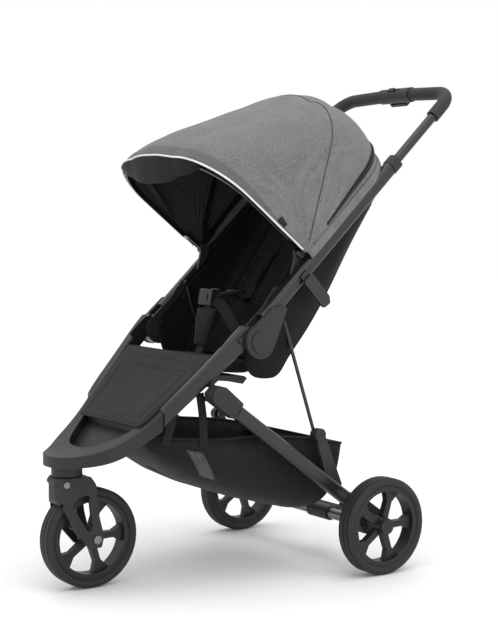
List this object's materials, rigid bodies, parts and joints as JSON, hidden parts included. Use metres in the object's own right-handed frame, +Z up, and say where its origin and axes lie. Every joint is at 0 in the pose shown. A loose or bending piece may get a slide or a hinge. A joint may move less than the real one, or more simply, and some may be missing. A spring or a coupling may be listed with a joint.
{
  "type": "jogging stroller",
  "caption": "Folding three-wheeled stroller with a swivelling front wheel, sunshade hood, reclining harness seat, telescoping handlebar, parking brake and a basket under the seat.",
  "frame": {"origin": "on the ground under the middle of the footprint", "axes": "+X to the stroller's left, -Y forward, +Z up"},
  "size_m": [0.525, 0.87, 0.9697],
  "materials": {
    "frame_dark": "satin dark grey paint",
    "tube_black": "satin black anodised tube",
    "nose_plastic": "fine-grained dark grey moulding",
    "hinge_plastic": "matt dark grey moulding",
    "rim_plastic": "matt dark grey moulding",
    "tyre": "black tyre with shallow grooves",
    "grip": "soft dark grip",
    "steel": "dull steel",
    "strut_metal": "dark satin rod",
    "canopy_cloth": "mid-grey melange cloth",
    "seat_cloth": "near-black woven cloth",
    "panel_cloth": "dark grey heavy cloth",
    "basket_cloth": "black polyester cloth",
    "webbing": "black webbing",
    "visor_cloth": "black stiffened cloth",
    "buckle_plastic": "black moulding",
    "board": "black stiffener sheet"
  },
  "bodies": {
    "chassis": {"nose_frame": "nose_plastic", "footrest_bar": "nose_plastic", "steering_bush": "rim_plastic", "lower_rails": "frame_dark", "pivot_pins": "steel", "calf_panel": "panel_cloth", "seat_base": "seat_cloth", "seat_bracket": "nose_plastic", "crotch_pad": "seat_cloth", "crotch_strap": "webbing", "harness_buckle": "buckle_plastic", "basket": "basket_cloth"},
    "front_fork": {"front_fork": "nose_plastic", "steering_stem": "steel", "fork_fasteners": "steel"},
    "front_wheel": {"front_tyre": "tyre", "front_rim": "rim_plastic", "front_bearings": "steel"},
    "upper_frame": {"upper_rails": "frame_dark", "rail_collars": "hinge_plastic", "hinge_covers": "hinge_plastic", "hinge_caps": "hinge_plastic", "hinge_inner_plates": "hinge_plastic", "fold_hook": "frame_dark", "canopy_pivots": "hinge_plastic", "seat_sides": "seat_cloth", "canopy_bow_rear": "tube_black", "canopy_fabric": "canopy_cloth"},
    "handlebar": {"handle_bar": "tube_black", "handle_grips": "grip", "handle_tubes": "tube_black", "handle_housing": "hinge_plastic"},
    "fold_trigger": {"fold_trigger": "hinge_plastic"},
    "fold_slider": {"fold_slider": "hinge_plastic"},
    "canopy_front": {"canopy_bow_front": "tube_black"},
    "canopy_middle": {"canopy_bow_middle": "tube_black"},
    "visor": {"canopy_visor": "visor_cloth"},
    "backrest": {"backrest": "seat_cloth", "backrest_board": "board", "shoulder_pads": "seat_cloth", "shoulder_straps": "webbing"},
    "rear_legs": {"rear_legs": "frame_dark", "leg_brackets": "hinge_plastic", "leg_pivot_caps": "hinge_plastic", "strut_brackets": "hinge_plastic", "axle_housings": "hinge_plastic", "rear_axle": "steel"},
    "struts": {"struts": "strut_metal"},
    "rear_wheel_left": {"rear_left_tyre": "tyre", "rear_left_rim": "rim_plastic", "rear_left_bearings": "steel", "rear_left_hub_cap": "rim_plastic"},
    "rear_wheel_right": {"rear_right_tyre": "tyre", "rear_right_rim": "rim_plastic", "rear_right_bearings": "steel", "rear_right_hub_cap": "rim_plastic"},
    "brake_pedal": {"brake_pedal": "hinge_plastic"},
    "brake_pin_left": {"brake_pin_left": "steel"},
    "brake_pin_right": {"brake_pin_right": "steel"},
    "buckle_button": {"buckle_button": "buckle_plastic"}
  },
  "joints": [
    {"name": "fork_swivel", "type": "hinge", "parent": "chassis", "child": "front_fork", "pos_m": [0, -0.385, 0.23], "axis": [0, 0, 1], "continuous": true},
    {"name": "front_wheel_spin", "type": "hinge", "parent": "front_fork", "child": "front_wheel", "pos_m": [0, -0.34, 0.095], "axis": [1, 0, 0], "continuous": true},
    {"name": "fold", "type": "hinge", "parent": "chassis", "child": "upper_frame", "pos_m": [0, -0.081, 0.465], "axis": [1, 0, 0], "range_deg": [-164, 0], "deforming": ["seat_sides", "backrest", "backrest_board", "shoulder_pads", "shoulder_straps", "basket", "canopy_fabric"]},
    {"name": "leg_fold", "type": "hinge", "parent": "chassis", "child": "rear_legs", "pos_m": [0, -0.17, 0.369], "axis": [1, 0, 0], "range_deg": [-110.1, 0]},
    {"name": "strut_swing", "type": "hinge", "parent": "rear_legs", "child": "struts", "pos_m": [0, 0.071, 0.275], "axis": [1, 0, 0], "range_deg": [0, 41.9]},
    {"name": "handle_slide", "type": "slide", "parent": "upper_frame", "child": "handlebar", "axis": [0, 0.7314, 0.682], "range_m": [-0.1, 0.06]},
    {"name": "trigger_press", "type": "slide", "parent": "handlebar", "child": "fold_trigger", "axis": [0, -0.682, 0.7314], "range_m": [0, 0.004], "stiffness_N_per_m": 400, "springref_m": -0.003},
    {"name": "slider_shift", "type": "slide", "parent": "handlebar", "child": "fold_slider", "axis": [1, 0, 0], "range_m": [0, 0.016], "stiffness_N_per_m": 150, "springref_m": -0.004},
    {"name": "canopy_fold", "type": "hinge", "parent": "upper_frame", "child": "canopy_front", "pos_m": [0, 0.03, 0.628], "axis": [-1, 0, 0], "range_deg": [0, 65], "deforming": ["canopy_fabric"]},
    {"name": "canopy_middle_fold", "type": "hinge", "parent": "upper_frame", "child": "canopy_middle", "pos_m": [0, 0.03, 0.628], "axis": [-1, 0, 0], "range_deg": [0, 13]},
    {"name": "visor_flip", "type": "hinge", "parent": "canopy_front", "child": "visor", "pos_m": [0, -0.19349, 0.79683], "axis": [-1, 0, 0], "range_deg": [0, 75]},
    {"name": "recline", "type": "hinge", "parent": "upper_frame", "child": "backrest", "pos_m": [0, -0.023, 0.404], "axis": [-1, 0, 0], "range_deg": [0, 30]},
    {"name": "rear_wheel_left_spin", "type": "hinge", "parent": "rear_legs", "child": "rear_wheel_left", "pos_m": [0.2425, 0.175, 0.095], "axis": [1, 0, 0], "continuous": true},
    {"name": "rear_wheel_right_spin", "type": "hinge", "parent": "rear_legs", "child": "rear_wheel_right", "pos_m": [-0.2425, 0.175, 0.095], "axis": [1, 0, 0], "continuous": true},
    {"name": "brake_press", "type": "hinge", "parent": "rear_legs", "child": "brake_pedal", "pos_m": [0.04, 0.185, 0.088], "axis": [-1, 0, 0], "range_deg": [0, 13]},
    {"name": "brake_pin_left_slide", "type": "slide", "parent": "rear_legs", "child": "brake_pin_left", "axis": [1, 0, 0], "range_m": [0, 0.0131]},
    {"name": "brake_pin_right_slide", "type": "slide", "parent": "rear_legs", "child": "brake_pin_right", "axis": [-1, 0, 0], "range_m": [0, 0.0131]},
    {"name": "buckle_press", "type": "slide", "parent": "chassis", "child": "buckle_button", "axis": [0, 0.9839, -0.179], "range_m": [0, 0.002], "stiffness_N_per_m": 200, "springref_m": -0.002}
  ],
  "couplings": [
    {"joint": "leg_fold", "follows": "fold", "ratio": 0.67073},
    {"joint": "strut_swing", "follows": "fold", "ratio": -0.25488},
    {"joint": "canopy_middle_fold", "follows": "canopy_fold", "ratio": 0.19},
    {"joint": "brake_pin_left_slide", "follows": "brake_press", "m_per_rad": 0.0573},
    {"joint": "brake_pin_right_slide", "follows": "brake_press", "m_per_rad": 0.0573}
  ]
}
